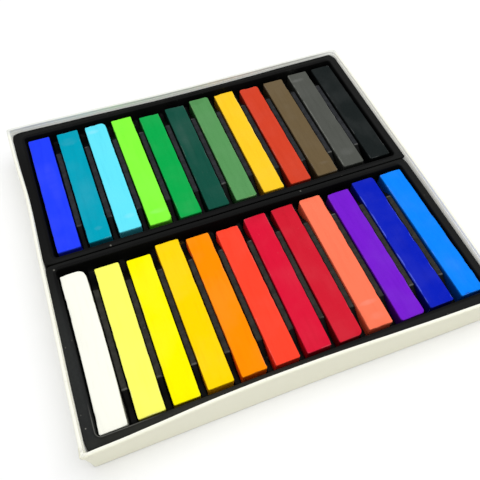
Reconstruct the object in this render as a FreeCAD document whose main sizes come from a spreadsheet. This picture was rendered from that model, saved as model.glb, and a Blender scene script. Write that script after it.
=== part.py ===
import FreeCAD, Part
import os
import re
import Sketcher

# A low board box holding two formed inserts with twelve square pastel sticks in each.
# Millimetres. +X runs along the rows of sticks, +Y to the rear, +Z up. The origin is the middle
# of the underside, so the box stands on z = 0.

V = FreeCAD.Vector
UP = V(0, 0, 1)
OUT_FOLDER = "parts"
NEAR = 0.02  # how close an edge lies to a level to count as on it
STEEP = 3  # how much taller than broad an edge is to count as upright

DRIVING = [
    # the box
    ("box_width", 166.2, "outside, along X"),
    ("box_depth", 150.4, "outside, along Y"),
    ("box_height", 19.5, "floor underside to rim"),
    ("board", 1.2, "chipboard thickness"),
    ("wrap", 0.28, "cover paper with its glue"),
    ("board_corner", 0.9, "outside radius of the folded corners"),
    ("rim_round", 0.42, "radius pressed on the board's rim"),
    ("stay_paper", 0.12, "gummed corner tape"),
    ("stay_reach", 12.0, "tape on each side of a corner"),
    ("stay_end", 1.5, "bare board above and below the tape"),
    # the formed inserts
    ("rear_width", 161.8, "flange, along X"),
    ("front_width", 160.5, "flange, trimmed narrower"),
    ("insert_depth", 72.7, "flange, along Y"),
    ("insert_height", 15.35, "foot to flange top"),
    ("rear_x", 0.0, "middle of the rear insert"),
    ("front_x", -0.8, "middle of the front insert"),
    ("insert_y", 36.7, "middle of either insert, front or rear of the centre"),
    ("skin", 0.5, "formed sheet thickness"),
    ("foot_flare", 0.1, "how far the foot stands outside the flange"),
    ("flange_corner", 3.5, "corner radius in plan"),
    ("flange_roll", 1.2, "radius where the flange turns down"),
    ("pocket_width", 153.4, "at the flange"),
    ("pocket_length", 67.6, "at the flange"),
    ("pocket_depth", 10.85, "flange top to pocket floor"),
    ("pocket_draft", 0.7, "how much the floor is set in from the mouth on each side"),
    ("pocket_corner", 1.2, "corner radius in plan"),
    ("pocket_lip", 0.7, "radius at the mouth"),
    # the ribs between the sticks
    ("rib_width", 2.2, "across a rib"),
    ("shelf_rise", 4.8, "low part of a rib, over the pocket floor"),
    ("crest_rise", 8.95, "high part of a rib, over the pocket floor"),
    ("crest_length", 41.5, "flat top of the high part"),
    ("crest_ramp", 7.0, "slope at each end of the high part"),
    ("crest_round", 0.5, "radius on the high part's edges"),
    # the sticks
    ("sticks_in_row", 12, "sticks in each insert"),
    ("pitch", 12.86, "from one stick to the next"),
    ("stick_width", 9.8, "side of the square section"),
    ("stick_edge", 0.25, "wear on the edges"),
]

# Each stick: colour, length, how far it lies behind its pocket's middle, turn in degrees.
REAR_STICKS = [
    ("blue", 64.2, 0.2, 0.1),
    ("teal", 63.6, 0.3, 0.0),
    ("cyan", 63.1, 0.6, -0.2),
    ("lime", 63.8, -0.1, 0.2),
    ("green", 62.1, -1.7, 0.1),
    ("deep_green", 63.4, -1.2, -0.1),
    ("leaf_green", 64.3, -0.4, -0.1),
    ("amber", 64.0, -0.7, 0.1),
    ("vermilion", 63.1, -1.0, 0.1),
    ("brown", 63.4, -0.9, -0.1),
    ("grey", 63.2, 0.2, -0.2),
    ("black", 63.9, 0.1, 0.0),
]
FRONT_STICKS = [
    ("white", 63.8, -0.8, 0.0),
    ("pale_yellow", 62.8, -1.5, -0.1),
    ("yellow", 61.8, -2.0, 0.0),
    ("golden", 64.0, -0.1, 0.1),
    ("orange", 62.5, -0.9, 0.1),
    ("flame", 62.0, -1.5, 0.2),
    ("crimson", 63.8, -0.5, 0.0),
    ("dark_red", 64.3, -0.6, 0.2),
    ("salmon", 64.2, -0.3, -0.2),
    ("purple", 63.8, -1.1, 0.1),
    ("deep_blue", 64.6, -0.1, 0.2),
    ("sky", 64.4, 0.0, 0.0),
]

doc = FreeCAD.newDocument("PastelBox")


# ---- the driving sheet -------------------------------------------------------------------------

def fill_sheet():
    """Puts every driving dimension in a sheet, one row each, named by an alias."""
    sheet = doc.addObject("Spreadsheet::Sheet", "Sizes")
    rows = list(DRIVING)
    for colour, length, shift, turn in REAR_STICKS + FRONT_STICKS:
        rows.append((colour + "_length", length, "length of the " + colour + " stick"))
        rows.append((colour + "_shift", shift, "behind its pocket's middle"))
        rows.append((colour + "_turn", turn, "turn seen from above"))
    for number, (alias, value, note) in enumerate(rows, start=1):
        sheet.set("A%d" % number, alias)
        sheet.set("B%d" % number, str(value))
        sheet.set("C%d" % number, note)
        sheet.setAlias("B%d" % number, alias)
    return sheet


def sized(formula):
    """Turns a formula written with aliases into one that reads them from the sheet."""
    names = {alias for alias, _, _ in DRIVING}
    names |= {stick[0] + part for stick in REAR_STICKS + FRONT_STICKS
              for part in ("_length", "_shift", "_turn")}
    return re.sub("[a-z_]+", lambda word: ("Sizes." if word[0] in names else "") + word[0], formula)


# ---- helpers for sketched bodies ---------------------------------------------------------------

def new_body(name):
    return doc.addObject("PartDesign::Body", name)


def rectangle(body, name, width, depth, level="0"):
    """A rectangle lying flat at a level and centred on the Z axis, sized by formulas."""
    sketch = body.newObject("Sketcher::SketchObject", name)
    flat = [o for o in body.Origin.OriginFeatures if o.Role == "XY_Plane"][0]
    sketch.AttachmentSupport = [(flat, "")]
    sketch.MapMode = "FlatFace"
    sketch.setExpression("AttachmentOffset.Base.z", sized(level))
    corners = [V(-9, -5, 0), V(9, -5, 0), V(9, 5, 0), V(-9, 5, 0)]
    for i in range(4):
        sketch.addGeometry(Part.LineSegment(corners[i], corners[(i + 1) % 4]), False)
    for i in range(4):
        sketch.addConstraint(Sketcher.Constraint("Coincident", i, 2, (i + 1) % 4, 1))
    for kind, line in (("Horizontal", 0), ("Horizontal", 2), ("Vertical", 1), ("Vertical", 3)):
        sketch.addConstraint(Sketcher.Constraint(kind, line))
    sketch.addConstraint(Sketcher.Constraint("Symmetric", 0, 1, 1, 2, -1, 1))
    for label, kind, line, formula in (("width", "DistanceX", 0, width),
                                       ("depth", "DistanceY", 1, depth)):
        index = sketch.addConstraint(Sketcher.Constraint(kind, line, 1, line, 2, 10.0))
        sketch.renameConstraint(index, label)
        sketch.setExpression("Constraints." + label, sized(formula))
    sketch.Visibility = False
    return sketch


def pad(body, name, sketch, height, taper="0"):
    """Builds upwards from a sketch; a taper below 0 leans the sides inwards."""
    feature = body.newObject("PartDesign::Pad", name)
    feature.Profile = sketch
    feature.setExpression("Length", sized(height))
    feature.setExpression("TaperAngle", sized(taper))
    doc.recompute()
    return feature


def pocket(body, name, sketch, depth, taper="0"):
    """Cuts downwards from a sketch and makes sure that something was cut."""
    before = body.Shape.Volume
    feature = body.newObject("PartDesign::Pocket", name)
    feature.Profile = sketch
    feature.setExpression("Length", sized(depth))
    feature.setExpression("TaperAngle", sized(taper))
    doc.recompute()
    if body.Shape.Volume >= before:
        raise RuntimeError(name + " cuts nothing")
    return feature


def rounded(body, name, chosen, radius):
    """Rounds those edges of the body that a test picks."""
    base = body.Tip
    names = ["Edge%d" % n for n, edge in enumerate(base.Shape.Edges, start=1) if chosen(edge)]
    feature = body.newObject("PartDesign::Fillet", name)
    feature.Base = (base, names)
    feature.setExpression("Radius", sized(radius))
    doc.recompute()
    return feature


def reading(formula):
    """The present value of a formula, used only to pick edges by their place."""
    return float(sizes_sheet.evalExpression(sized(formula)))


def upright(edge):
    box = edge.BoundBox
    return box.ZLength > STEEP * max(box.XLength, box.YLength)


def at_level(edge, level):
    return abs(edge.BoundBox.ZMin - level) < NEAR and abs(edge.BoundBox.ZMax - level) < NEAR


# ---- the box -----------------------------------------------------------------------------------

FLOOR = "(wrap + board)"  # top of the tray's floor


def block(name, width, depth, bottom, height, corner):
    """A standing block with its four upright edges rounded."""
    body = new_body(name)
    pad(body, name + "Pad", rectangle(body, name + "Plan", width, depth, bottom), height)
    rounded(body, name + "Corners", upright, corner)
    return body


def open_top(body, name, width, depth, top, rim):
    """Hollows a block from its top down to the tray floor and rounds the outside of its rim."""
    hollow = rectangle(body, name + "Inside", width, depth, top)
    pocket(body, name + "Hollow", hollow, top + " - " + FLOOR)
    level = reading(top)
    half_width = reading(width) / 2
    half_depth = reading(depth) / 2

    def outer_rim(edge):
        box = edge.BoundBox
        outside = max(abs(box.XMin), abs(box.XMax)) > half_width + NEAR
        outside = outside or max(abs(box.YMin), abs(box.YMax)) > half_depth + NEAR
        return at_level(edge, level) and outside

    rounded(body, name + "Rim", outer_rim, rim)


def make_tray_board():
    """Floor and walls of one folded chipboard blank."""
    body = block("TrayBoard", "box_width - 2 * wrap", "box_depth - 2 * wrap", "wrap",
                 "box_height - 2 * wrap", "board_corner")
    open_top(body, "TrayBoard", "box_width - 2 * (wrap + board)",
             "box_depth - 2 * (wrap + board)", "box_height - wrap", "rim_round")
    body.Label = "tray_board"
    return body


def make_corner_stays():
    """Four strips of gummed tape folded round the outside of the board's corners."""
    level = "wrap + stay_end"
    height = "box_height - 2 * wrap - 2 * stay_end"
    outer = block("StayOuter", "box_width - 2 * wrap + 2 * stay_paper",
                  "box_depth - 2 * wrap + 2 * stay_paper", level, height,
                  "board_corner + stay_paper")
    core = block("StayCore", "box_width - 2 * wrap", "box_depth - 2 * wrap", level, height,
                 "board_corner")
    ring = doc.addObject("Part::Cut", "StayRing")
    ring.Base = outer
    ring.Tool = core
    corners = []
    for side_x in (-1, 1):
        for side_y in (-1, 1):
            corner = doc.addObject("Part::Box", "StayCorner")
            corner.setExpression("Length", sized("stay_reach"))
            corner.setExpression("Width", sized("stay_reach"))
            corner.setExpression("Height", sized("box_height"))
            for axis, size, side in (("x", "box_width", side_x), ("y", "box_depth", side_y)):
                middle = "%d * (%s / 2 - stay_reach / 2) - stay_reach / 2" % (side, size)
                corner.setExpression("Placement.Base." + axis, sized(middle))
            corners.append(corner)
    reach = doc.addObject("Part::MultiFuse", "StayReach")
    reach.Shapes = corners
    stays = doc.addObject("Part::Common", "CornerStays")
    stays.Base = ring
    stays.Tool = reach
    stays.Label = "corner_stays"
    return stays


def make_cover_wrap(board, stays):
    """Cover paper round the outside, over the rim and down the inside to the floor."""
    body = block("WrapForm", "box_width", "box_depth", "0", "box_height", "board_corner + wrap")
    open_top(body, "WrapForm", "box_width - 4 * wrap - 2 * board",
             "box_depth - 4 * wrap - 2 * board", "box_height", "rim_round + wrap")
    inside = doc.addObject("Part::MultiFuse", "WrapInside")
    inside.Shapes = [board, stays]
    wrap = doc.addObject("Part::Cut", "CoverWrap")
    wrap.Base = body
    wrap.Tool = inside
    wrap.Label = "cover_wrap"
    return wrap


# ---- the formed inserts ------------------------------------------------------------------------

POCKET_FLOOR = "(insert_height - pocket_depth)"


def insert_form(name, width, inset):
    """One face of the formed sheet as a solid standing on its foot.

    The upper face has an inset of 0. The under face is the same form set in by the sheet's
    thickness on every side, and it keeps plain edges.
    """
    body = new_body(name)
    flange = "(insert_height - %s)" % inset
    foot = rectangle(body, name + "Foot", "%s + 2 * (foot_flare - %s)" % (width, inset),
                     "insert_depth + 2 * (foot_flare - %s)" % inset)
    pad(body, name + "Block", foot, flange, "-1 * atan(foot_flare / insert_height)")
    rounded(body, name + "Corners", upright, "flange_corner - %s" % inset)

    mouth_width = "pocket_width + 2 * %s" % inset
    mouth = rectangle(body, name + "Mouth", mouth_width, "pocket_length + 2 * %s" % inset, flange)
    pocket(body, name + "Pocket", mouth, "pocket_depth", "-1 * atan(pocket_draft / pocket_depth)")
    half_mouth = reading(mouth_width) / 2

    def pocket_corner(edge):
        box = edge.BoundBox
        return upright(edge) and box.ZMin > NEAR and abs(box.XMax) < half_mouth + NEAR

    rounded(body, name + "PocketCorners", pocket_corner, "pocket_corner + %s" % inset)
    add_ribs(body, name, inset)
    if inset == "0":
        soften(body, name)
    return body


def rib_outline(body, name, inset):
    """A rib seen from its side: a low shelf from end to end with a high crest on its middle."""
    sketch = body.newObject("Sketcher::SketchObject", name)
    side = [o for o in body.Origin.OriginFeatures if o.Role == "YZ_Plane"][0]
    sketch.AttachmentSupport = [(side, "")]
    sketch.MapMode = "FlatFace"
    sketch.setExpression("AttachmentOffset.Base.z", sized("-0.5 * (sticks_in_row - 2) * pitch"))
    floor = "(%s - %s)" % (POCKET_FLOOR, inset)
    half_shelf = "pocket_length / 2"
    half_crest = "crest_length / 2"
    points = [
        (half_shelf, floor + " - skin / 2"),
        (half_shelf, floor + " + shelf_rise"),
        (half_crest + " + crest_ramp", floor + " + shelf_rise"),
        (half_crest, floor + " + crest_rise"),
    ]
    places = [(reading(along), reading(up)) for along, up in points]
    places += [(-along, up) for along, up in reversed(places)]
    count = len(places)
    for i in range(count):
        start = V(places[i][0], places[i][1], 0)
        end = V(places[(i + 1) % count][0], places[(i + 1) % count][1], 0)
        sketch.addGeometry(Part.LineSegment(start, end), False)
    for i in range(count):
        sketch.addConstraint(Sketcher.Constraint("Coincident", i, 2, (i + 1) % count, 1))
    for i, (along, up) in enumerate(points):
        mirrored = count - 1 - i
        sketch.addConstraint(Sketcher.Constraint("Symmetric", i, 1, mirrored, 1, -2))
        for label, kind, formula in (("along", "DistanceX", along), ("up", "DistanceY", up)):
            size = Sketcher.Constraint(kind, -1, 1, i, 1, reading(formula))
            index = sketch.addConstraint(size)
            sketch.renameConstraint(index, "%s%d" % (label, i))
            sketch.setExpression("Constraints.%s%d" % (label, i), sized(formula))
    sketch.Visibility = False
    return sketch


def add_ribs(body, name, inset):
    """A row of equal ribs, one between each two sticks."""
    first = pad(body, name + "Rib", rib_outline(body, name + "RibSide", inset),
                "rib_width - 2 * %s" % inset)
    first.Midplane = True
    row = body.newObject("PartDesign::LinearPattern", name + "Ribs")
    row.Originals = [first]
    along = [o for o in body.Origin.OriginFeatures if o.Role == "X_Axis"][0]
    row.Direction = (along, [""])
    row.setExpression("Length", sized("(sticks_in_row - 2) * pitch"))
    row.setExpression("Occurrences", sized("sticks_in_row - 1"))
    body.Tip = row
    doc.recompute()


def soften(body, name):
    """Rounds the upper face where the warm sheet was drawn over an edge."""
    flange = reading("insert_height")
    half_mouth_x = reading("pocket_width / 2 + pocket_lip")
    half_mouth_y = reading("pocket_length / 2 + pocket_lip")
    shelf = reading(POCKET_FLOOR + " + shelf_rise")
    crest = reading(POCKET_FLOOR + " + crest_rise")

    def inside_mouth(edge):
        box = edge.BoundBox
        return max(-box.XMin, box.XMax) < half_mouth_x and max(-box.YMin, box.YMax) < half_mouth_y

    def on_crest(edge):
        box = edge.BoundBox
        return abs(box.ZMax - crest) < NEAR and box.ZMin > shelf - NEAR

    rounded(body, name + "CrestEdges", on_crest, "crest_round")
    rounded(body, name + "Lip", lambda e: at_level(e, flange) and inside_mouth(e), "pocket_lip")
    rounded(body, name + "Roll", lambda e: at_level(e, flange) and not inside_mouth(e),
            "flange_roll")


def make_insert(name, width, place_x, place_y):
    """A formed sheet: its upper face less its under face."""
    sheet_part = doc.addObject("Part::Cut", name.title().replace("_", ""))
    sheet_part.Base = insert_form(sheet_part.Name + "Upper", width, "0")
    sheet_part.Tool = insert_form(sheet_part.Name + "Under", width, "skin")
    sheet_part.Label = name
    for axis, formula in (("x", place_x), ("y", place_y), ("z", FLOOR)):
        sheet_part.setExpression("Placement.Base." + axis, sized(formula))
    return sheet_part


# ---- the sticks --------------------------------------------------------------------------------

def make_stick(colour, number, row_x, row_y):
    """A square stick with worn edges, lying on its pocket's floor."""
    name = "Stick" + colour.title().replace("_", "")
    body = new_body(name)
    plan = rectangle(body, name + "Plan", "stick_width", colour + "_length")
    pad(body, name + "Pad", plan, "stick_width")
    rounded(body, name + "Edges", lambda edge: True, "stick_edge")
    body.Label = "stick_" + colour
    body.Placement = FreeCAD.Placement(V(0, 0, 0), FreeCAD.Rotation(UP, 1))
    step = "(%d - (sticks_in_row - 1) / 2) * pitch" % number
    body.setExpression("Placement.Base.x", sized(row_x + " + " + step))
    body.setExpression("Placement.Base.y", sized(row_y + " + " + colour + "_shift"))
    body.setExpression("Placement.Base.z", sized(FLOOR + " + " + POCKET_FLOOR))
    body.setExpression("Placement.Rotation.Angle", sized(colour + "_turn"))
    return body


# ---- assembly ----------------------------------------------------------------------------------

def write_parts(parts):
    """Checks every object and every finished piece, then writes one file for each piece."""
    doc.recompute()
    for obj in doc.Objects:
        if "Invalid" in obj.State or "Error" in obj.State:
            raise RuntimeError("%s did not build: %s" % (obj.Name, obj.State))
    for obj in parts:
        if obj.Shape.isNull() or not obj.Shape.isValid() or not obj.Shape.Solids:
            raise RuntimeError(obj.Label + " has no sound shape")
    os.makedirs(OUT_FOLDER, exist_ok=True)
    for obj in parts:
        obj.Shape.exportStep(os.path.join(OUT_FOLDER, obj.Label + ".step"))
        box = obj.Shape.BoundBox
        print("%-18s solids %d volume %9.1f  x %7.2f %7.2f  y %7.2f %7.2f  z %6.2f %6.2f" % (
            obj.Label, len(obj.Shape.Solids), obj.Shape.Volume,
            box.XMin, box.XMax, box.YMin, box.YMax, box.ZMin, box.ZMax))


sizes_sheet = fill_sheet()
doc.recompute()
tray_board = make_tray_board()
corner_stays = make_corner_stays()
cover_wrap = make_cover_wrap(tray_board, corner_stays)
pieces = [
    tray_board,
    corner_stays,
    cover_wrap,
    make_insert("rear_insert", "rear_width", "rear_x", "insert_y"),
    make_insert("front_insert", "front_width", "front_x", "-1 * insert_y"),
]
for sticks, middle_x, middle_y in ((REAR_STICKS, "rear_x", "insert_y"),
                                   (FRONT_STICKS, "front_x", "-1 * insert_y")):
    for place, stick in enumerate(sticks):
        pieces.append(make_stick(stick[0], place, middle_x, middle_y))
write_parts(pieces)
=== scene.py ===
"""A box of square pastel sticks: the finished pieces, in metres, in the part's own frame."""

import math
import random

import bmesh
import bpy
from mathutils import Matrix, Vector, noise


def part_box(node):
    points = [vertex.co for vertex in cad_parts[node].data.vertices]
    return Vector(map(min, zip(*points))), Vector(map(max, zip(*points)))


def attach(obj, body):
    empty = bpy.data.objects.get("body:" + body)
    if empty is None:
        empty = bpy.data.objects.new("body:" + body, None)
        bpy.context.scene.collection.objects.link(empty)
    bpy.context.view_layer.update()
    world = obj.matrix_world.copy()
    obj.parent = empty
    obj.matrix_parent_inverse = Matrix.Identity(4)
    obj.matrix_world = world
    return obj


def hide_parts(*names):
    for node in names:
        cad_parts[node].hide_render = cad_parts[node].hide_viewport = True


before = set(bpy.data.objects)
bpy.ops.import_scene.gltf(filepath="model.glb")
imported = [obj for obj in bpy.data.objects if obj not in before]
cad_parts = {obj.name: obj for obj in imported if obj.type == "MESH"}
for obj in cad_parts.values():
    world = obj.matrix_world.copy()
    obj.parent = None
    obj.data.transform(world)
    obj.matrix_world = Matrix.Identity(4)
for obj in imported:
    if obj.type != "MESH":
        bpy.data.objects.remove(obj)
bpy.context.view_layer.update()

# noise_vector is drawn from the clock until it is seeded
noise.seed_set(24)

MM = 0.001
UNLIT = (0, 0, 0, 1)
# the studio's pale ground, and how far from the middle the table starts and ends fading to it
STUDIO_PALE = (0.97, 0.97, 0.97, 1)
TABLE_NEAR, TABLE_FAR = 0.1732, 0.6
TABLE_DROP, TABLE_HALF = 0.0001, 3.0


# ---------------------------------------------------------------- finishes


def tone(red, green, blue):
    """A colour given as 0 to 255 screen values, as the shader takes it."""
    shares = [value / 255 for value in (red, green, blue)]
    linear = [s / 12.92 if s <= 0.04045 else ((s + 0.055) / 1.055) ** 2.4 for s in shares]
    return (*linear, 1.0)


def toward(start, end, share):
    """The colour that lies a share of the way from one colour to another."""
    return tuple(a + (b - a) * share for a, b in zip(start, end))


def deeper(colour, share, power, top=1.0):
    """A colour made darker and fuller, or with a share above 1 paler, no channel above top."""
    return tuple(min(top, share * channel**power) for channel in colour[:3]) + (1.0,)


WHITE = tone(255, 255, 255)


class Signal:
    """One socket of a finish. A sign between two signals adds its Math node."""

    def __init__(self, finish, socket):
        self.finish = finish
        self.socket = socket

    def math(self, operation, first, second=0.0):
        """A Math node of any kind between two signals or numbers."""
        return self.finish.node("ShaderNodeMath", {"operation": operation}, {0: first, 1: second})

    def __add__(self, other):
        return self.math("ADD", self, other)

    def __radd__(self, other):
        return self.math("ADD", other, self)

    def __sub__(self, other):
        return self.math("SUBTRACT", self, other)

    def __rsub__(self, other):
        return self.math("SUBTRACT", other, self)

    def __mul__(self, other):
        return self.math("MULTIPLY", self, other)

    def __truediv__(self, other):
        return self.math("DIVIDE", self, other)

    def __abs__(self):
        return self.math("ABSOLUTE", self)

    def above(self, start, end):
        """0 below start, 1 past end, and a soft step between them."""
        settings = {"interpolation_type": "SMOOTHSTEP"}
        return self.finish.node("ShaderNodeMapRange", settings, {0: self, 1: start, 2: end})


class Finish:
    """A material while its nodes are put together."""

    def __init__(self, name, steady, shift=(0.0, 0.0, 0.0)):
        self.material = bpy.data.materials.new(name)
        self.material.use_nodes = True
        self.tree = self.material.node_tree
        self.shader = self.tree.nodes["Principled BSDF"]
        for socket, value in steady.items():
            self.shader.inputs[socket].default_value = value
        self.spot = self.node("ShaderNodeTexCoord", {}, {}, "Object")
        self.place = self.vectors("ADD", self.spot, shift)

    def node(self, kind, settings, sockets, out=0):
        """Adds a node: its settings first, then its values and links."""
        made = self.tree.nodes.new(kind)
        for name, value in settings.items():
            setattr(made, name, value)
        for name, value in sockets.items():
            if isinstance(value, Signal):
                self.tree.links.new(value.socket, made.inputs[name])
            else:
                made.inputs[name].default_value = value
        return Signal(self, made.outputs[out])

    def vectors(self, operation, first, second):
        return self.node("ShaderNodeVectorMath", {"operation": operation}, {0: first, 1: second})

    def stretched(self, along):
        return self.vectors("MULTIPLY", self.place, along)

    def clouds(self, size, detail=2.0, rough=0.5, along=(1.0, 1.0, 1.0)):
        """Noise whose blots are about size millimetres across."""
        sockets = {"Vector": self.stretched(along), "Scale": 1000 / size, "Detail": detail}
        sockets["Roughness"] = rough
        return self.node("ShaderNodeTexNoise", {}, sockets)

    def specks(self, size, rarity, along=(1.0, 1.0, 1.0)):
        """Small separate spots, 1 inside and 0 outside; rarity 0 to 1 thins them out."""
        sockets = {"Vector": self.stretched(along), "Scale": 1000 / size}
        near = self.node("ShaderNodeTexVoronoi", {}, sockets, "Distance")
        pick = self.node("ShaderNodeTexVoronoi", {}, sockets, "Color")
        chance = self.node("ShaderNodeSeparateColor", {}, {0: pick})
        return (1 - near.above(0.08, 0.2)) * chance.above(rarity, rarity + 0.02)

    def axis(self, name):
        """How far a point lies along X, Y or Z, in millimetres."""
        return self.node("ShaderNodeSeparateXYZ", {}, {0: self.spot}, name) * 1000

    def patch(self, x, y, wide, long):
        """A soft oval spot in plan, 1 at its middle, in millimetres."""
        across = (self.axis("X") - x) / wide
        down = (self.axis("Y") - y) / long
        return 1 - (across * across + down * down).above(-0.2, 1.0)

    def outside(self, middle, half, corner):
        """How far a point lies outside a rounded rectangle in plan, in millimetres."""
        over_x = abs(self.axis("X") - middle[0]) - (half[0] - corner)
        over_y = abs(self.axis("Y") - middle[1]) - (half[1] - corner)
        far_x, far_y = over_x.math("MAXIMUM", over_x), over_y.math("MAXIMUM", over_y)
        within = over_x.math("MAXIMUM", over_x, over_y)
        within = within.math("MINIMUM", within)
        away = far_x * far_x + far_y * far_y
        return away.math("SQRT", away) + within - corner

    def mixed(self, share, first, second, blend="MIX"):
        settings = {"data_type": "RGBA", "blend_type": blend}
        return self.node("ShaderNodeMix", settings, {0: share, 6: first, 7: second}, 2)

    def relief(self, height, depth, strength=1.0, under=None):
        """A bump of the given depth in millimetres."""
        sockets = {"Height": height, "Distance": depth * MM, "Strength": strength}
        if under:
            sockets["Normal"] = under
        return self.node("ShaderNodeBump", {}, sockets, "Normal")

    def wear(self, sockets):
        """Links the shader's sockets to their signals and gives the material back."""
        for name, signal in sockets.items():
            self.tree.links.new(signal.socket, self.shader.inputs[name])
        return self.material


def cover_paper_finish():
    """White box paper: faint fibres, a soft pulp bloom, rubbed edges and the folded seams."""
    f = Finish("cover_paper", {"Specular IOR Level": 0.12, "Emission Strength": 1.0})
    white, cream, grime = tone(248, 248, 236), tone(243, 242, 226), tone(196, 193, 182)
    inset = f.node("ShaderNodeAttribute", {"attribute_name": "inset"}, {}, "Fac")
    bloom = f.clouds(26, 3).above(0.35, 0.7)
    fibre = f.clouds(0.5, 4, 0.7, (1.0, 1.0, 0.35))
    colour = f.mixed(bloom * 0.35, white, cream)
    colour = f.mixed(fibre.above(0.55, 0.8) * 0.10, colour, grime)
    at_wall, on_wall = HALF_DEPTH - 3.7, HALF_DEPTH - 2.2
    # painted shade: the outer face of the front wall is painted a darker cream
    front = (1 - inset.above(0.30, 0.75)) * (f.axis("Y") * -1.0).above(at_wall, on_wall)
    colour = f.mixed(front * 0.92, colour, tone(243, 241, 220))
    back = f.axis("Y").above(at_wall, on_wall)
    colour = f.mixed(back * 0.5, colour, tone(222, 226, 226))
    inset_x, inset_y = HALF_WIDTH - abs(f.axis("X")), HALF_DEPTH - abs(f.axis("Y"))
    mitre = (1 - abs(inset_x - inset_y).above(0.05, 0.22)) * (1 - inset_x.above(1.9, 2.2))
    lap = (1 - abs(inset_y - LAP_AT).above(0.03, 0.16)) * (1 - inset_x.above(0.3, 0.5))
    seam = mitre + lap * 0.7
    rim = f.axis("Z").above(RIM_HEIGHT - 0.9, RIM_HEIGHT - 0.1)
    scuff = f.clouds(1.6, 4, 0.65).above(0.56, 0.72) * rim
    # grime and painted shade: the grey patches at the crushed front left corner stand partly for
    # the shade in its crease
    crushed = f.patch(-82.6, -74.8, 3.4, 3.4) * f.axis("Z").above(12.0, 18.5)
    dirt_and_shade = seam * 0.30 + scuff * 0.16 + crushed * f.clouds(0.9, 3).above(0.42, 0.66) * 0.45
    colour = f.mixed(dirt_and_shade, colour, grime)
    # painted shade: a painted contact shadow darkens the paper toward its bottom edge
    foot = 1 - f.axis("Z").above(0.1, 0.9)
    colour = f.mixed(foot * 0.5, colour, tone(160, 158, 148))
    # painted light: the inner faces of the walls, above the inserts and below the rim, glow,
    # brighter on the right wall
    inside = inset.above(1.25, 1.40) * f.axis("Z").above(12.0, 16.0)
    through = inside * (1 - f.axis("Z").above(16.4, 18.9))
    glow = f.mixed(through, UNLIT, (0.17, 0.17, 0.165, 1))
    right_wall = f.axis("X").above(70.0, 80.0)
    glow = f.mixed(inside * right_wall, glow, (0.21, 0.21, 0.205, 1))
    bump = f.relief(fibre, 0.03, 0.5)
    bump = f.relief(f.clouds(9, 2), 0.16, 0.6, bump)
    bump = f.relief(1 - seam, 0.08, 0.8, bump)
    rough = 0.58 + fibre * 0.16 + dirt_and_shade * 0.15
    sockets = {"Base Color": colour, "Roughness": rough, "Emission Color": glow, "Normal": bump}
    return f.wear(sockets)


def greyboard_finish():
    """Grey recycled board: long fibres, dark and pale flecks, a dry rough face."""
    f = Finish("greyboard", {"Specular IOR Level": 0.12})
    board, pale, dark = tone(150, 140, 122), tone(178, 170, 152), tone(104, 96, 84)
    fibre = f.clouds(1.4, 5, 0.7, (0.35, 1.0, 1.0))
    colour = f.mixed(f.clouds(14, 3).above(0.3, 0.7) * 0.4, board, pale)
    colour = f.mixed(fibre.above(0.5, 0.75) * 0.35, colour, dark)
    colour = f.mixed(f.specks(2.2, 0.8) * 0.5, colour, dark)
    colour = f.mixed(f.specks(3.1, 0.86, (1.0, 0.4, 1.0)) * 0.5, colour, pale)
    bump = f.relief(fibre, 0.06, 0.7)
    return f.wear({"Base Color": colour, "Roughness": 0.82 + fibre * 0.14, "Normal": bump})


def gummed_tape_finish():
    """Brown gummed paper: ribbed kraft with darker fibres."""
    f = Finish("gummed_tape", {"Specular IOR Level": 0.2})
    kraft, dark = tone(176, 140, 96), tone(138, 104, 66)
    rib = f.clouds(0.8, 2, 0.5, (1.0, 1.0, 0.08))
    fibre = f.clouds(0.7, 5, 0.7)
    colour = f.mixed(fibre.above(0.45, 0.75) * 0.5, kraft, dark)
    colour = f.mixed(rib.above(0.45, 0.6) * 0.18, colour, dark)
    bump = f.relief(rib + fibre, 0.04, 0.6)
    return f.wear({"Base Color": colour, "Roughness": 0.55 + fibre * 0.2, "Normal": bump})


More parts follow.
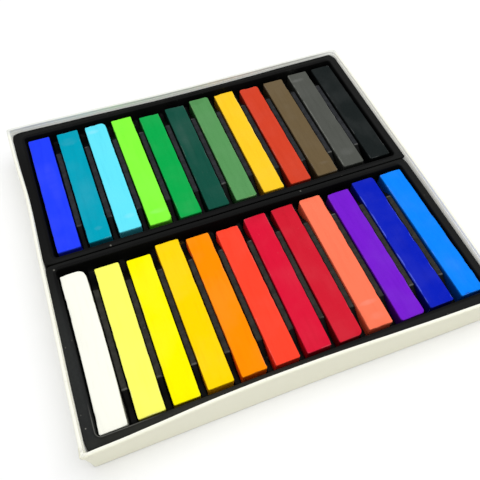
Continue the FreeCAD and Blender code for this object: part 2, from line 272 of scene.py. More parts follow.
def formed_sheet_finish(name, node, drawn, zones):
    """Black formed sheet: satin orange peel, powdered ribs, a painted highlight on the lip and at
    the crest ends, painted sheen on the flange top, lint and stray pastel.

    zones are (shade, x, y, across, down, depth, grit): painted shade and painted light on the
    flanges, and stray pastel dust and specks; grit 0 lies evenly, 1 lies as dust.
    """
    f = Finish(name, {"Specular IOR Level": 0.045})
    black, worn = tone(9, 9, 9), tone(40, 41, 40)
    low, high = (corner * 1000 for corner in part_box(node))
    middle = (low + high) / 2
    beyond = f.outside(middle, (POCKET_WIDTH / 2, POCKET_LENGTH / 2), POCKET_CORNER)
    haze = f.clouds(18, 3).above(0.35, 0.75)
    rub = f.clouds(3.2, 4, 0.65).above(0.55, 0.8)
    # painted sheen: the flange top is painted paler, standing for its reflection, on top of its
    # worn haze and rubs
    painted_flange_sheen = beyond.above(0.9, 1.6) * f.axis("Z").above(15.2, 16.4)
    colour = f.mixed(haze * 0.14 + rub * 0.10 + painted_flange_sheen * 0.34, black, worn)
    along = abs(f.axis("Y") - middle.y)
    ribs = (1 - beyond.above(-1.2, -0.6)) * f.axis("Z").above(12.6, 14.4)
    crest = ribs * (1 - along.above(CREST_HALF - 0.2, CREST_HALF + 0.5))
    powder = f.clouds(2.4, 4, 0.7).above(0.25, 0.8)
    colour = f.mixed(crest * (0.30 + powder * 0.45), colour, drawn)
    # painted highlight: a small pale spot where each crest ends
    painted_tip_highlight = (1 - abs(along - CREST_HALF).above(0.1, 0.5)) * ribs * f.clouds(5, 2).above(0.44, 0.6)
    colour = f.mixed(painted_tip_highlight * 0.28, colour, tone(150, 150, 144))
    # zones paint shade and light on the flanges, and lay stray dust and specks
    for shade, x, y, across, down, depth, grit in zones:
        lies = f.patch(x, y, across, down) * depth
        if grit:
            lies = lies * (1 - grit + f.clouds(0.9, 4, 0.7).above(0.38, 0.7) * grit)
        colour = f.mixed(lies, colour, tone(*shade))
    # painted highlight: a thin pale line along the pocket's lip at the front left
    painted_lip_highlight = (1 - abs(beyond - 0.42).above(0.05, 0.24)) * f.patch(-77.0, -72.0, 24, 15)
    colour = f.mixed(painted_lip_highlight * f.clouds(16, 2).above(0.36, 0.58) * 0.40, colour, tone(150, 150, 144))
    lint = f.specks(2.6, 0.975) + f.specks(1.3, 0.992)
    colour = f.mixed(lint * 0.45, colour, tone(150, 148, 140))
    peel = f.clouds(0.55, 2)
    scratch = f.clouds(0.35, 1, 0.5, (1.0, 0.04, 1.0)).above(0.66, 0.74)
    bump = f.relief(peel, 0.012, 0.5)
    bump = f.relief(f.clouds(7, 2), 0.10, 0.5, bump)
    bump = f.relief(1 - scratch, 0.01, 0.4, bump)
    roughness = 0.42 + haze * 0.12 + rub * 0.10 + crest * 0.25 + lint * 0.3
    return f.wear({"Base Color": colour, "Roughness": roughness, "Normal": bump})


def pastel_finish(name, body, edge, painted_flank, crown, shift, bands):
    """Pressed pastel: soft clouding, streaks along the stick, fine grain, rubbed edges with a
    painted glint on some, and painted shade on the flanks.

    bands are (x, y, across, down, strength): paler where strength is above 0, deeper below it.
    """
    f = Finish("pastel_" + name, {"Specular IOR Level": 0.03}, (shift, shift * 0.7, shift * 0.3))
    powder, deep = toward(body, WHITE, 0.05), deeper(body, 0.7, 1.3)
    rub = f.node("ShaderNodeAttribute", {"attribute_name": "rub"}, {}, "Fac")
    grain = f.clouds(0.35, 3, 0.65)
    cloud = f.clouds(15, 3).above(0.40, 0.70)
    streak = f.clouds(1.6, 3, 0.6, (1.0, 0.10, 1.0)).above(0.45, 0.72)
    colour = f.mixed(cloud * 0.18, body, powder)
    colour = f.mixed(streak * 0.12, colour, deep)
    colour = f.mixed(grain.above(0.52, 0.74) * 0.16, colour, powder)
    colour = f.mixed(f.specks(1.9, 0.94) * 0.3, colour, powder)
    for x, y, across, down, strength in bands:
        smear = f.clouds(5.0, 1, 0.5, (0.6, 1.0, 1.0)).above(0.10, 0.80)
        tint = toward(body, WHITE, 0.4) if strength > 0 else deep
        lies = f.patch(x, y, across, down) * smear * abs(strength) * 0.75
        colour = f.mixed(lies, colour, tint)
    # painted shade: below its top the stick's sides take the painted flank colour, darker than the
    # top, paler on warm sticks for the painted light their neighbours throw
    colour = f.mixed((crown - f.axis("Z")).above(0.25, 1.3) * 0.92, colour, painted_flank)
    # the rub attribute carries the rubbed arrises and the painted glint; both take the edge colour
    broken = (rub + (f.clouds(0.8, 4, 0.7) - 0.5) * 0.7).above(0.35, 0.8)
    colour = f.mixed(broken * 0.7, colour, edge)
    bump = f.relief(grain, 0.05, 0.55)
    bump = f.relief(1 - streak, 0.02, 0.5, bump)
    bump = f.relief(f.specks(1.1, 0.9) * -1.0, 0.06, 0.7, bump)
    return f.wear({"Base Color": colour, "Roughness": 0.80 + grain * 0.18, "Normal": bump})


def table_finish():
    """Pale matt table, paler to the lens than to the light it throws back."""
    steady = {"Specular IOR Level": 0.1, "Roughness": 0.9, "Emission Strength": 1.0}
    f = Finish("pale_table", steady)
    seen = f.node("ShaderNodeLightPath", {}, {}, "Is Camera Ray")
    for ray in ("Is Glossy Ray", "Is Transmission Ray"):
        seen = seen.math("MAXIMUM", seen, f.node("ShaderNodeLightPath", {}, {}, ray))
    glow = f.clouds(160, 2).above(0.3, 0.7)
    matt = f.mixed(glow * 0.3, tone(242, 242, 242), tone(238, 239, 240))
    clean = f.mixed(glow * 0.3, tone(251, 251, 251), tone(249, 250, 250))
    left_shade = f.patch(-100.0, -14.0, 42.0, 135.0) * 0.22
    front_shade = f.patch(-20.0, -92.0, 120.0, 34.0) * 0.12
    clean = f.mixed(left_shade + front_shade, clean, tone(238, 238, 240))
    bump = f.relief(f.clouds(1.2, 3), 0.02, 0.3)
    lift = f.mixed(seen, UNLIT, (0.02, 0.02, 0.02, 1))
    f.wear({"Base Color": f.mixed(seen, matt, clean), "Emission Color": lift, "Normal": bump})
    x, y = f.axis("X") * MM, f.axis("Y") * MM
    far = (x * x + y * y).above(TABLE_NEAR**2, TABLE_FAR**2) * seen
    pale = f.node("ShaderNodeEmission", {}, {"Color": STUDIO_PALE})
    both = f.node("ShaderNodeMixShader", {}, {0: far, 1: Signal(f, f.shader.outputs[0]), 2: pale})
    f.tree.links.new(both.socket, f.tree.nodes["Material Output"].inputs["Surface"])
    return f.material


# ---------------------------------------------------------------- making pieces


def smooth(value, start, end):
    """0 before start, 1 past end, soft between."""
    share = min(1.0, max(0.0, (value - start) / (end - start)))
    return share * share * (3 - 2 * share)


def finished(name, mesh, finish, slot, body, *nodes):
    """Puts a mesh made in millimetres in the frame, on its body, in place of its nodes."""
    bmesh.ops.recalc_face_normals(mesh, faces=mesh.faces)
    bmesh.ops.scale(mesh, vec=(MM, MM, MM), verts=mesh.verts)
    data = bpy.data.meshes.new(name)
    mesh.to_mesh(data)
    mesh.free()
    data.shade_smooth()
    data.set_sharp_from_angle(angle=math.radians(42))
    data.materials.append(finish)
    thing = bpy.data.objects.new(name, data)
    bpy.context.scene.collection.objects.link(thing)
    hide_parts(*nodes)
    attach(thing, body)


# ---------------------------------------------------------------- the tray

low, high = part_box("cover_wrap")
HALF_WIDTH, HALF_DEPTH, RIM_HEIGHT = (high.x - low.x) * 500, (high.y - low.y) * 500, high.z * 1000
# thicknesses: the board, the outer paper, the turned-in paper and the gummed stays
BOARD, PAPER, LINING, STAY_PAPER = 1.18, 0.15, 0.10, 0.12
WALL = BOARD + 2 * PAPER
RIM_ROLL, LINING_ROLL = 0.62, 0.28
LAP_AT = 1.5
# corner radii: outside, outside at the back right, and inside from the front right round
CORNER_OUT, CORNER_BACK = 1.18, 2.1
INNER_CORNERS = (0.5, 3.2, 0.5, 0.5)
# points along a wall and round a corner, and how many points past a corner its stay reaches
WALL_STEPS, TURNS, STAY_REACH = 46, 7, 3
# how far each rim leans in (+) or out (-): at its slack middle and its two ends, left or front
# end first; how far its foot stands off at those ends; and where along it the slack lies
LEANS = {
    "front": dict(middle=1.05, ends=(-0.85, -1.65), foot=(0.0, -1.1), slack=-20.0),
    "back": dict(middle=0.55, ends=(-1.00, -0.55), foot=(-0.2, -0.1)),
    "left": dict(middle=0.29, ends=(-0.65, -0.25)),
    "right": dict(middle=0.25, ends=(0.85, -0.10), foot=(1.0, 0.0)),
}
# the left wall is also pressed in at one place
PRESSED_IN, PRESSED_AT, PRESSED_LONG = 1.05, 32.0, 21.0
# a wall leans more and more toward its rim, and its lean takes over near the wall alone
BEND, LEAN_FROM, LEAN_FULL = 1.5, 12, 2
# the back right of the rim is worn lower, and the front left corner is crushed
WORN_RIM = 0.35
CRUSHED_AT, CRUSHED_REACH = (-83.0, -75.0, 18.6), 4.2
# the paper's slow and quick unevenness, and its rim's: length of a wave, then how far it moves
SLOW_WAVE, QUICK_WAVE, RIM_WAVE = (17.0, 0.10), (4.1, 0.035), (21.0, 0.16)
RIM_LOW = 0.05


def sway(along, half, height, middle, ends, foot=(0.0, 0.0), slack=0.0):
    """How far a wall stands in (+) or out (-): slack at its middle, held at its two ends."""
    far = along > slack
    share = min(1.0, abs(along - slack) / (half - slack if far else half + slack))
    loose = math.cos(math.pi / 2 * share) ** 2
    rim = middle * loose + ends[far] * (1 - loose)
    low = foot[far] * (1 - loose)
    return low + (rim - low) * height**BEND


def wall_lean(x, y, z):
    """How far a wall has moved, as an x and y step, at a point on it."""
    height = min(1.0, max(0.0, z / RIM_HEIGHT))
    near_x = smooth(abs(x), HALF_WIDTH - LEAN_FROM, HALF_WIDTH - LEAN_FULL)
    near_y = smooth(abs(y), HALF_DEPTH - LEAN_FROM, HALF_DEPTH - LEAN_FULL)
    long_wall = sway(x, HALF_WIDTH, height, **LEANS["front" if y < 0 else "back"])
    short_wall = sway(y, HALF_DEPTH, height, **LEANS["left" if x < 0 else "right"])
    if x < 0:
        pressed = PRESSED_IN * math.exp(-(((y - PRESSED_AT) / PRESSED_LONG) ** 2))
        short_wall += pressed * height**BEND
    return -short_wall * near_x * math.copysign(1, x), -long_wall * near_y * math.copysign(1, y)


def wall_loop(inset, z):
    """The points round one level of the tray's wall, at an inset from its outer face."""
    share = min(1.0, inset / WALL)
    radii = []
    for quarter, inner in enumerate(INNER_CORNERS):
        outer = CORNER_BACK if quarter == 1 else CORNER_OUT
        radii.append(outer + (inner - outer) * share if z > 1.0 else outer)
    half_x, half_y = HALF_WIDTH - inset, HALF_DEPTH - inset
    points = []
    signs = ((1, -1), (1, 1), (-1, 1), (-1, -1))
    hubs = [Vector((sx * (half_x - r), sy * (half_y - r))) for (sx, sy), r in zip(signs, radii)]
    for quarter in range(4):
        start = (quarter - 1) * math.pi / 2
        for turn in range(TURNS + 1):
            angle = start + turn / TURNS * math.pi / 2
            way = Vector((math.cos(angle), math.sin(angle)))
            points.append(hubs[quarter] + radii[quarter] * way)
        facing = Vector((math.cos(start + math.pi / 2), math.sin(start + math.pi / 2)))
        ahead = (quarter + 1) % 4
        arrive = hubs[ahead] + radii[ahead] * facing
        leave = points[-1]
        points += [leave.lerp(arrive, step / WALL_STEPS) for step in range(1, WALL_STEPS)]
    loop = []
    for x, y in points:
        step_x, step_y = wall_lean(x, y, z)
        loop.append(Vector((x + step_x, y + step_y, z)))
    return loop


def cut_across(mesh, axis, start, end, count):
    """Divides a mesh by evenly spaced planes across one axis."""
    for cut in range(1, count):
        at = Vector((0, 0, 0))
        at[axis] = start + (end - start) * cut / count
        normal = Vector((axis == 0, axis == 1, axis == 2))
        parts = mesh.verts[:] + mesh.edges[:] + mesh.faces[:]
        bmesh.ops.bisect_plane(mesh, geom=parts, dist=0.001, plane_co=at, plane_no=normal)


def banded(mesh, rings):
    """Joins each ring of points to the next with a closed band of faces."""
    for lower, upper in zip(rings, rings[1:]):
        for here in range(len(lower)):
            ahead = (here + 1) % len(lower)
            mesh.faces.new((lower[here], lower[ahead], upper[ahead], upper[here]))


def ringed(levels):
    """A closed skin through a list of (inset, height) levels, eased like the paper."""
    mesh = bmesh.new()
    depth = mesh.verts.layers.float.new("inset")
    rings = [[mesh.verts.new(paper_ease(p)) for p in wall_loop(inset, z)] for inset, z in levels]
    for ring, (inset, _) in zip(rings, levels):
        for vertex in ring:
            vertex[depth] = inset
    banded(mesh, rings)
    mesh.faces.new(rings[0])
    mesh.faces.new(rings[-1])
    return mesh


def arc(inset, z, radius, start, end, count):
    """Levels on a quarter turn of the rim, angles in degrees from the outward side."""
    turns = [math.radians(start + (end - start) * i / count) for i in range(count + 1)]
    return [(inset - radius * math.cos(a), z + radius * math.sin(a)) for a in turns]


def paper_ease(point):
    """The hand-wrapped paper: slightly uneven rim and faces, one crushed front corner."""
    x, y, z = point
    up = smooth(z, 1.0, 6.0)
    slow, quick = (noise.noise_vector(point / wave) * far for wave, far in (SLOW_WAVE, QUICK_WAVE))
    moved = Vector((slow.x + quick.x, slow.y + quick.y, 0)) * up
    uneven = noise.noise(Vector((x, y, 7.0)) / RIM_WAVE[0]) * RIM_WAVE[1]
    uneven = min(0.0, uneven - RIM_LOW)
    moved.z = uneven * smooth(z, 16.0, 19.0)
    moved.z -= WORN_RIM * smooth(x, 20, 75) * smooth(y, 60, 74) * smooth(z, 12.0, 19.0)
    hurt = max(0.0, 1 - math.dist((x, y, z), CRUSHED_AT) / CRUSHED_REACH) ** 1.3
    outer = smooth(-x, HALF_WIDTH - 1.1, HALF_WIDTH - 0.1)
    outer += smooth(-y, HALF_DEPTH - 1.1, HALF_DEPTH - 0.1)
    dent = noise.noise_vector(point / 1.5)
    crush = Vector((-0.22 + dent.x * 0.22, -0.20 + dent.y * 0.22, -0.16 + dent.z * 0.12))
    return point + moved + crush * hurt * outer


def make_cover_paper():
    """One skin of paper: up the outside, over the rim, down inside, and back behind itself."""
    lining = WALL - LINING
    faces = [(1.5, 0.0), (0.40, 0.0), (0.16, 0.05), (0.04, 0.18), (0.0, 0.42)]
    faces += [(0.0, z) for z in (1.5, 3.0, 5.0, 7.5, 10.0, 12.5, 15.0, 17.0, 18.2)]
    faces += arc(RIM_ROLL, RIM_HEIGHT - RIM_ROLL, RIM_ROLL, 0, 90, 5)
    faces += arc(lining - LINING_ROLL, RIM_HEIGHT - LINING_ROLL, LINING_ROLL, 90, 180, 4)
    faces += [(lining, 18.7), (lining, 18.22), (lining + 0.02, 18.18), (WALL - 0.01, 18.17)]
    faces += [(WALL, 18.12), (WALL, 17.4), (WALL, 16.0), (WALL, 13.0), (WALL, 9.0), (WALL, 5.0)]
    under, behind, floor_top = lining - 0.03, PAPER - 0.01, 1.49
    back = [(WALL, floor_top), (under, floor_top), (under, 5.0), (under, 13.0), (under, 18.7)]
    back += [(1.15, 19.3), (0.5, 19.3), (behind, 18.6), (behind, 13.0), (behind, 5.0)]
    back.append((behind, 0.27))
    mesh = ringed(faces + back)
    finished("cover_paper", mesh, cover_paper_finish(), "cover_paper", "tray", "cover_wrap")


def make_greyboard():
    """The folded board inside the paper, with room for the stays at its outer face."""
    outer, inner = PAPER + STAY_PAPER + 0.01, PAPER + BOARD - 0.05
    levels = [(outer, 0.29), (outer, 5.0), (outer, 13.0), (outer, 18.5)]
    levels += [(PAPER + 0.35, 19.2), (inner - 0.30, 19.2), (inner, 18.5)]
    levels += [(inner, 13.0), (inner, 5.0), (inner, 1.48)]
    mesh = ringed(levels)
    finished("greyboard_tray", mesh, greyboard_finish(), "greyboard", "tray", "tray_board")


def make_corner_stays():
    """The four gummed stays, folded round the board's corners under the paper."""
    low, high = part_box("corner_stays")
    levels = [low.z / MM, 5.0, 9.0, 13.0, 16.5, high.z / MM]
    mesh = bmesh.new()
    for corner in range(4):
        rings = []
        for z in levels:
            outer, inner = wall_loop(PAPER, z), wall_loop(PAPER + STAY_PAPER, z)
            first = corner * len(outer) // 4 - STAY_REACH
            places = [at % len(outer) for at in range(first, first + 2 * STAY_REACH + TURNS + 1)]
            line = [outer[at] for at in places] + [inner[at] for at in reversed(places)]
            rings.append([mesh.verts.new(paper_ease(point)) for point in line])
        banded(mesh, rings)
        for ring in (rings[0], rings[-1]):
            for here in range(len(places) - 1):
                mesh.faces.new((ring[here], ring[here + 1], ring[-here - 2], ring[-here - 1]))
    tape = gummed_tape_finish()
    finished("corner_stays_paper", mesh, tape, "gummed_tape", "tray", "corner_stays")


# ---------------------------------------------------------------- the formed inserts

FLANGE_ROLL, FLANGE_CORNER = 1.2, 3.5
# how much fuller the roll is, how nearly square the corners are (more so at the middle of the
# right wall), and the gap to the walls
FULLER, SQUARE, SQUARER_SEAM, CLEAR = 0.34, 0.66, 1.5, 0.12
POCKET_WIDTH, POCKET_LENGTH, POCKET_CORNER = 153.4, 67.6, 1.9
CREST_HALF = 20.75
# planes cut across a sheet along X and along Y, and the welds before and after the cuts
CUTS_X, CUTS_Y, WELD, WELD_CUTS = 34, 14, 0.002, 0.006
EDGE_IN = 0.1
# a sheet's unevenness in height and sideways: length of a wave, then how far it moves
SHEET_WAVE, SIDE_WAVE, SHEET_LOW = (24.0, 0.22), (19.0, 0.06), 0.04
# how far the far edge of each insert rides up at its left and right ends, and its right edge
RIDES = {"rear_insert": (0.30, 0.55, 0.10), "front_insert": (0.0, 0.1, 0.12)}
# how much each is trimmed at its right, and how much more for each millimetre toward the back
SHORT_RIGHT = {"rear_insert": (0.15, 0.0), "front_insert": (1.05, 0.008)}
# the ribs and sticks stand right of an even pitch at the right end, and left of it at one place
DRIFT_RIGHT, DRIFT_FROM, DRIFT_FULL = 1.2, 35, 80
DRIFT_LEFT, DRIFT_AT, DRIFT_WIDE = 0.62, 20, 36


def from_edge(x, y, half_x, half_y, corner):
    """How far inside a rounded rectangle's edge a point lies, and the way out of it."""
    over_x, over_y = abs(x) - (half_x - corner), abs(y) - (half_y - corner)
    if over_x > 0 and over_y > 0:
        away = math.hypot(over_x, over_y)
        way = Vector((over_x / away, over_y / away))
        inside = corner - away
    elif over_x > over_y:
        way, inside = Vector((1, 0)), corner - over_x
    else:
        way, inside = Vector((0, 1)), corner - over_y
    return inside, Vector((math.copysign(way.x, x), math.copysign(way.y, y)))


def squarer(way):
    """How much further a rounded corner reaches along a way out when it is nearly square."""
    return SQUARE * FLANGE_CORNER * (1 / max(abs(way.x), abs(way.y)) - 1)


def drift(x):
    """How far the ribs and sticks of both rows stand from an even pitch, at a place along X."""
    left = DRIFT_LEFT * math.exp(-(((x - DRIFT_AT) / DRIFT_WIDE) ** 2))
    return DRIFT_RIGHT * smooth(x, DRIFT_FROM, DRIFT_FULL) - left


def make_formed_sheet(name, node, body, finish):
    """The insert's own form, cut finely, then bowed and eased as warm-formed sheet is."""
    mesh = bmesh.new()
    mesh.from_mesh(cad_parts[node].data)
    bmesh.ops.scale(mesh, vec=(1000, 1000, 1000), verts=mesh.verts)
    bmesh.ops.remove_doubles(mesh, verts=mesh.verts, dist=WELD)
    low, high = (corner * 1000 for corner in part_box(node))
    middle = (low + high) / 2
    half_x, half_y = (high.x - low.x) / 2 - EDGE_IN, (high.y - low.y) / 2 - EDGE_IN
    cut_across(mesh, 0, low.x, high.x, CUTS_X)
    cut_across(mesh, 1, low.y, high.y, CUTS_Y)
    bmesh.ops.remove_doubles(mesh, verts=mesh.verts, dist=WELD_CUTS)
    outward = 1 if middle.y > 0 else -1
    for vertex in mesh.verts:
        x, y, z = vertex.co
        inside, way = from_edge(x - middle.x, y - middle.y, half_x, half_y, FLANGE_CORNER)
        roll, climb = FLANGE_ROLL - inside, z - (high.z - FLANGE_ROLL)
        if roll > 0 and climb > 0:
            fuller = FULLER * math.sin(2 * math.atan2(climb, roll)) ** 2
            vertex.co.x += way.x * roll * fuller
            vertex.co.y += way.y * roll * fuller
            vertex.co.z = min(high.z, z + climb * fuller)
        height = smooth(z, 1.0, 16.0)
        back_right, seam_right = x > 0 and y > 60, x > 0 and 0 < y < 6
        if not back_right:
            corner = squarer(way) * smooth(inside, 3.0, 0.6) * height
            corner *= SQUARER_SEAM if seam_right else 1.0
            vertex.co.x += way.x * corner
            vertex.co.y += way.y * corner
        side = math.copysign(1, x - middle.x)
        across = smooth(abs(x - middle.x), half_x - 2.4, half_x - 0.3) * height
        wall = side * (HALF_WIDTH - WALL - CLEAR) + wall_lean(side * HALF_WIDTH, y, z)[0]
        trimmed, taper = SHORT_RIGHT[node]
        short = trimmed + taper * y if side > 0 else 0.0
        vertex.co.x += (wall - short - middle.x - side * half_x) * across
        out = (y - middle.y) * outward
        along = smooth(out, half_y - 2.4, half_y - 0.3) * height
        wall = outward * (HALF_DEPTH - WALL - CLEAR)
        wall += wall_lean(x, outward * HALF_DEPTH, z)[1]
        vertex.co.y += (wall - middle.y - outward * half_y) * along
        vertex.co.x += drift(x) * smooth(abs(x - middle.x), half_x - 0.6, half_x - 3.2)
        left, right, edge = RIDES[node]
        end = (right if side > 0 else left) * smooth(abs(x - middle.x), 10, half_x)
        vertex.co.z += end * smooth(out, half_y - 6, half_y) * height
        vertex.co.z += edge * smooth(x - middle.x, half_x - 4, half_x) * height * (1 - along)
        rise = smooth(z, 10.0, 16.0)
        wave = noise.noise(Vector((x, y, 3.0)) / SHEET_WAVE[0]) * SHEET_WAVE[1]
        vertex.co.z += min(0.0, wave - SHEET_LOW) * rise
        vertex.co.x += noise.noise(Vector((y, z, x)) / SIDE_WAVE[0]) * SIDE_WAVE[1] * rise
    for layer in list(mesh.loops.layers.uv):
        mesh.loops.layers.uv.remove(layer)
    finished(name, mesh, finish, "formed_sheet", body, node)


CRESTS = {"rear": tone(60, 62, 66), "front": tone(68, 67, 62)}
ZONES = {
    "rear": (
        # painted shade: the rear insert's left flange and its front flange by the seam
        ((6, 6, 7), -79.5, 36.0, 6.0, 52.0, 0.75, 0.0),
        ((6, 6, 7), 0.0, 1.5, 100.0, 4.5, 0.75, 0.0),
        # stray pastel dust on the flanges
        ((70, 62, 12), 18.5, 69.0, 8.0, 2.2, 0.45, 1.0),
        ((70, 72, 68), 56.5, 69.0, 5.0, 3.0, 0.30, 1.0),
        ((40, 80, 10), -32.0, 3.8, 6.0, 1.4, 0.35, 1.0),
    ),
    "front": (
        # painted shade on the front insert's back flange by the seam, then painted light on its
        # left and front flanges
        ((5, 5, 5), 0.0, -1.5, 100.0, 4.5, 0.70, 0.0),
        ((49, 51, 51), -79.6, -48.0, 5.0, 42.0, 0.72, 0.3),
        ((56, 56, 50), -40.0, -72.0, 60.0, 3.2, 0.55, 0.25),
        # stray pastel dust, then pale specks of lint
        ((150, 110, 12), -29.4, -4.4, 4.6, 1.3, 0.60, 1.0),
        ((150, 90, 10), -34.6, -68.0, 2.0, 3.5, 0.35, 1.0),
        ((20, 50, 120), 72.0, -69.5, 5.0, 1.8, 0.60, 1.0),
        ((150, 148, 142), -80.4, -66.5, 0.30, 0.30, 0.9, 0.0),
        ((96, 96, 92), -80.6, -35.9, 0.30, 0.34, 0.8, 0.0),
        ((96, 96, 92), -80.9, -61.6, 0.28, 0.34, 0.8, 0.0),
    ),
}


# ---------------------------------------------------------------- the sticks

STICK = 9.8
EDGE_STEPS = (0.0, 0.10, 0.22, 0.38, 0.62, 1.0, 1.7, 2.8, 3.8)
CROSS_STRIDE, LONG_STRIDE = 1.2, 1.5
# the rounding of an end's corners, of an arris and how far that varies, and a rubbed arris' width
END_CORNER, ARRIS, ARRIS_PLAY, RUB_WIDE = 0.55, 0.26, 0.10, 0.42
CHIP_DEPTH, CHIP_LONG = 0.28, 5.0
# the painted glint on one top arris: its strength and its width
BRIGHT, BRIGHT_WIDE = 6.0, 0.30
FACE_WAVE = (7.0, 0.035)
# how much is worn off a stick's front end and back end, and its width as a share of STICK
END_WEAR = {"rear": (0.35, 0.20), "front": (0.15, 0.15)}
SLIM = {"rear": 0.97, "front": 1.0}
# painted shade on the sides: how deep in tone a flank is painted beside its stick's top, at most
# FLANK_TOP
FLANK_LIT, FLANK_DEEP, FLANK_TOP = 0.33, 1.25, 0.95


def spread(size, stride):
    """Cut lines across a size, close together at both edges."""
    half = size / 2
    steps = [step for step in EDGE_STEPS if step < half - stride * 0.4]
    inner = half - steps[-1]
    count = max(1, round(inner / stride))
    side = [-half + step for step in steps]
    side += [-inner + inner * i / count for i in range(1, count)]
    return side + [0.0] + [-value for value in reversed(side)]


def box_skin(wide, long, tall):
    """The six faces of a block as one net of quads, lines close together at its edges."""
    lines = [spread(wide, CROSS_STRIDE), spread(long, LONG_STRIDE), spread(tall, CROSS_STRIDE)]
    mesh = bmesh.new()
    known = {}

    def corner(place):
        if place not in known:
            known[place] = mesh.verts.new([lines[a][place[a]] for a in range(3)])
        return known[place]

    for axis in range(3):
        first, second = [a for a in range(3) if a != axis]
        for end in (0, len(lines[axis]) - 1):
            for i in range(len(lines[first]) - 1):
                for j in range(len(lines[second]) - 1):
                    quad = []
                    for di, dj in ((0, 0), (1, 0), (1, 1), (0, 1)):
                        place = [0, 0, 0]
                        place[axis], place[first], place[second] = end, i + di, j + dj
                        quad.append(corner(tuple(place)))
                    mesh.faces.new(quad)
    return mesh


def make_stick(
    name, colour, edge, painted_flank, turn=0.0, bow=0.0, aside=0.0, short=None, corners=(), dents=(),
    bands=(), worn=1.0, painted_glint=0,
):
    """One pressed stick: eased edges, softened end corners, rubbed and chipped along its arrises.

    turn is in degrees; bow and aside are how far its middle and all of it lie to the right.
    short is how much is worn off its front end and its back end.
    corners are (side, end, radius): side -1 left, 1 right; end -1 front, 1 back.
    dents are (across, along, up, reach, depth) from the stick's middle and its foot.
    worn is how rubbed its arrises are; painted_glint the side, -1 or 1, whose top arris gets a
    painted glint.
    """
    node = "stick_" + name
    low, high = (corner * 1000 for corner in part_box(node))
    lean = math.radians(turn)
    row = "rear" if low.y > 0 else "front"
    at_front, at_back = short or END_WEAR[row]
    long = high.y - low.y - STICK * abs(math.sin(lean)) - at_front - at_back
    tall = high.z - low.z
    half = Vector((STICK / 2, long / 2, tall / 2))
    mesh = box_skin(STICK, long, tall)
    rub = mesh.verts.layers.float.new("rub")
    dice = random.Random(name)
    shift = Vector([dice.uniform(-90, 90) for _ in range(3)])
    soft = {(side, end): END_CORNER for end in (-1, 1) for side in (-1, 1)}
    for side, end, radius in corners:
        soft[(side, end)] = radius
    for vertex in mesh.verts:
        place = vertex.co.copy()
        near = sorted(half[a] - abs(place[a]) for a in range(3))
        arris = math.exp(-near[1] / RUB_WIDE)
        roughly = noise.fractal(place / CHIP_LONG + shift, 1.0, 2.0, 3)
        radius = ARRIS + ARRIS_PLAY * noise.noise(place / 9.0 + shift)
        kept = Vector([max(-half[a] + radius, min(half[a] - radius, place[a])) for a in range(3)])
        out = place - kept
        if out.length > 1e-6:
            out.normalize()
            place = kept + out * radius
        for (side, end), rounding in soft.items():
            centre = Vector((side * (half.x - rounding), end * (half.y - rounding)))
            away = Vector((place.x - centre.x, place.y - centre.y))
            if away.x * side > 0 and away.y * end > 0:
                reach = max(abs(away.x), abs(away.y))
                if away.length > 1e-6:
                    away *= reach / away.length
                place.x, place.y = centre.x + away.x, centre.y + away.y
        chip = smooth(roughly, 0.10, 0.42) * arris * worn
        place -= out * CHIP_DEPTH * chip
        place += noise.noise_vector(place / FACE_WAVE[0] + shift) * FACE_WAVE[1] * (1 - arris)
        hurt = 0.0
        for across, along, up, reach, depth in dents:
            gap = math.dist(place, (across, along, up - tall / 2)) / reach
            if gap < 1:
                bite = (1 - gap * gap) ** 2
                place -= out * depth * bite
                hurt = max(hurt, bite)
        place.x += bow * (1 - (place.y / half.y) ** 2)
        # painted glint: a bright line painted along one top arris, carried with the dents into the
        # rub attribute
        if painted_glint:
            gap = half.x - place.x * painted_glint + half.z - place.z
            glint = BRIGHT * math.exp(-gap / BRIGHT_WIDE) * smooth(roughly, -0.35, 0.15)
            hurt = max(hurt, glint)
        for a in (1, 2):
            place[a] = max(-half[a], min(half[a], place[a]))
        rubbed = arris * (0.42 + 0.5 * max(0.0, roughly)) * worn
        vertex[rub] = min(1.0, rubbed + chip * 0.5 + hurt * 0.15)
        vertex.co = place
    turned = Matrix.Rotation(lean, 3, "Z")
    middle = (low + high) / 2
    middle += Vector((aside, (at_front - at_back) / 2, 0))
    for vertex in mesh.verts:
        vertex.co.x *= SLIM[row]
        vertex.co = turned @ vertex.co + middle
        vertex.co.x += drift(vertex.co.x)
    finish = pastel_finish(name, colour, edge, painted_flank, high.z, dice.uniform(0.1, 0.9), bands)
    finished("pastel_" + name, mesh, finish, "pastel_" + name, node + "_body", node)
